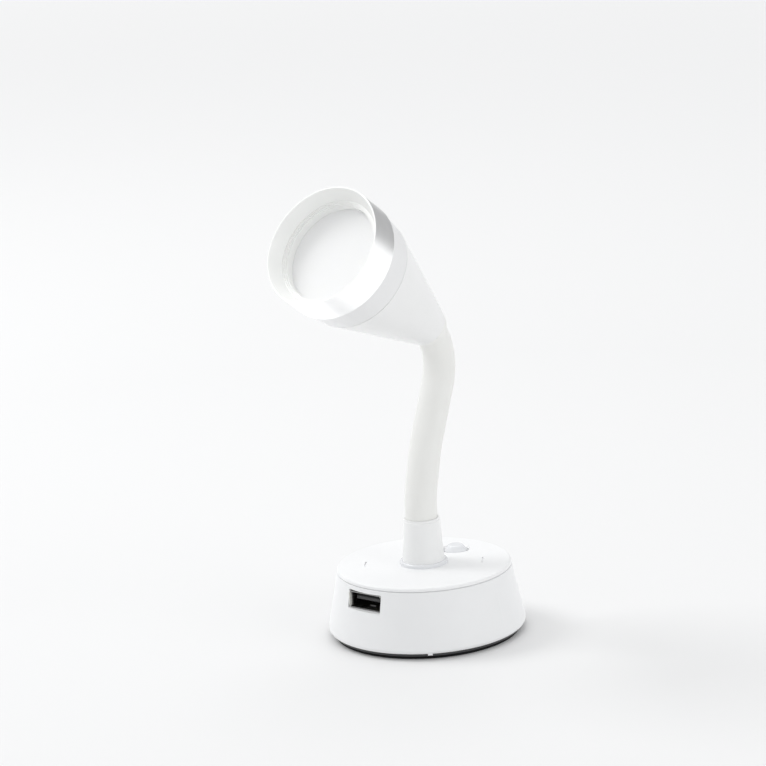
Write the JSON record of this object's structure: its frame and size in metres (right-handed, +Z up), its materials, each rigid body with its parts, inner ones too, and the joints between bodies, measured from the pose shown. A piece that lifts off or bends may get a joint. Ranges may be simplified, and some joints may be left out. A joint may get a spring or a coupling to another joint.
{
  "type": "flexible led spot lamp",
  "caption": "Small desk spot lamp: weighted round base with a USB socket and push button, bendable sleeved neck, and a cone-shaped LED head with a metal bezel.",
  "frame": {"origin": "centre of the underside of the rubber foot", "axes": "+Z up; -Y is the side with the socket, where the head points; +X to the right seen from that side"},
  "size_m": [0.067, 0.0883, 0.1586],
  "materials": {
    "white_body": "satin",
    "white_cover": "satin",
    "white_trim": "gloss",
    "white_stem": "satin",
    "white_head": "satin",
    "white_band": "satin",
    "black_rubber": "matte",
    "black_plastic": "matte",
    "red_plastic": "matte",
    "dark_lead": "matte",
    "screw_steel": "satin",
    "ballast_steel": "dull",
    "wire_steel": "dull",
    "usb_steel": "bright",
    "brass": "satin",
    "board_green": "gloss",
    "component_black": "matte",
    "silicone_white": "matte",
    "brushed_aluminium": "brushed",
    "sink_aluminium": "dull",
    "diffuser_white": "frosted",
    "retainer_black": "matte",
    "reflector_white": "gloss",
    "phosphor_yellow": "matte"
  },
  "bodies": {
    "base": {"rubber_foot": "black_rubber", "bottom_plate": "black_plastic", "bottom_screws": "screw_steel", "ballast_weight": "ballast_steel", "base_body": "white_body", "top_cover": "white_cover", "usb_shell": "usb_steel", "usb_tongue": "black_plastic", "usb_contacts": "brass", "circuit_board": "board_green", "board_parts": "component_black", "switch_body": "black_plastic", "stem_collar": "white_trim", "neck_ferrule": "white_stem", "ferrule_nut": "screw_steel", "lower_crimp": "brass", "neck_sleeve_root": "silicone_white", "stiff_wire": "wire_steel", "lead_left": "red_plastic", "lead_right": "dark_lead"},
    "button": {"power_button": "white_trim", "switch_plunger": "screw_steel"},
    "neck_link_1": {"neck_sleeve_1": "silicone_white"},
    "neck_link_2": {"neck_sleeve_2": "silicone_white"},
    "neck_link_3": {"neck_sleeve_3": "silicone_white"},
    "neck_link_4": {"neck_sleeve_4": "silicone_white"},
    "neck_link_5": {"neck_sleeve_5": "silicone_white"},
    "neck_link_6": {"neck_sleeve_6": "silicone_white"},
    "neck_link_7": {"neck_sleeve_7": "silicone_white"},
    "head": {"head_cone": "white_head", "head_band": "white_band", "bezel_ring": "brushed_aluminium", "diffuser": "diffuser_white", "lens_gasket": "black_rubber", "lens_retainer": "retainer_black", "reflector": "reflector_white", "heat_sink": "sink_aluminium", "led_board": "sink_aluminium", "led_chip": "phosphor_yellow", "led_screws": "screw_steel", "upper_crimp": "brass"}
  },
  "joints": [
    {"name": "button_press", "type": "slide", "parent": "base", "child": "button", "axis": [0, 0, -1], "range_m": [0, 0.0009], "stiffness_N_per_m": 400, "springref_m": -0.0005},
    {"name": "neck_bend_1", "type": "hinge", "parent": "base", "child": "neck_link_1", "pos_m": [0, 0, 0.0465], "axis": [1, 0, 0], "range_deg": [-15, 28], "deforming": ["stiff_wire", "lead_left", "lead_right"]},
    {"name": "neck_side_2", "type": "hinge", "parent": "neck_link_1", "child": "neck_link_2", "pos_m": [0, 0.00215, 0.05483], "axis": [0, 0.9681, -0.2504], "range_deg": [-20, 20], "deforming": ["stiff_wire", "lead_left", "lead_right"]},
    {"name": "neck_bend_3", "type": "hinge", "parent": "neck_link_2", "child": "neck_link_3", "pos_m": [0, 0.00431, 0.06315], "axis": [1, 0, 0], "range_deg": [-15, 28], "deforming": ["stiff_wire", "lead_left", "lead_right"]},
    {"name": "neck_side_4", "type": "hinge", "parent": "neck_link_3", "child": "neck_link_4", "pos_m": [0, 0.00767, 0.07107], "axis": [0, 0.9205, -0.3907], "range_deg": [-20, 20], "deforming": ["stiff_wire", "lead_left", "lead_right"]},
    {"name": "neck_bend_5", "type": "hinge", "parent": "neck_link_4", "child": "neck_link_5", "pos_m": [0, 0.01103, 0.07898], "axis": [1, 0, 0], "range_deg": [-15, 28], "deforming": ["stiff_wire", "lead_left", "lead_right"]},
    {"name": "neck_bend_6", "type": "hinge", "parent": "neck_link_5", "child": "neck_link_6", "pos_m": [0, 0.01439, 0.0869], "axis": [1, 0, 0], "range_deg": [-45, 5], "deforming": ["stiff_wire", "lead_left", "lead_right"]},
    {"name": "neck_bend_7", "type": "hinge", "parent": "neck_link_6", "child": "neck_link_7", "pos_m": [0, 0.01424, 0.0955], "axis": [1, 0, 0], "range_deg": [-45, 5], "deforming": ["stiff_wire", "lead_left", "lead_right"]},
    {"name": "neck_bend_8", "type": "hinge", "parent": "neck_link_7", "child": "head", "pos_m": [0, 0.01033, 0.10316], "axis": [1, 0, 0], "range_deg": [-45, 5], "deforming": ["stiff_wire", "lead_left", "lead_right"]}
  ]
}
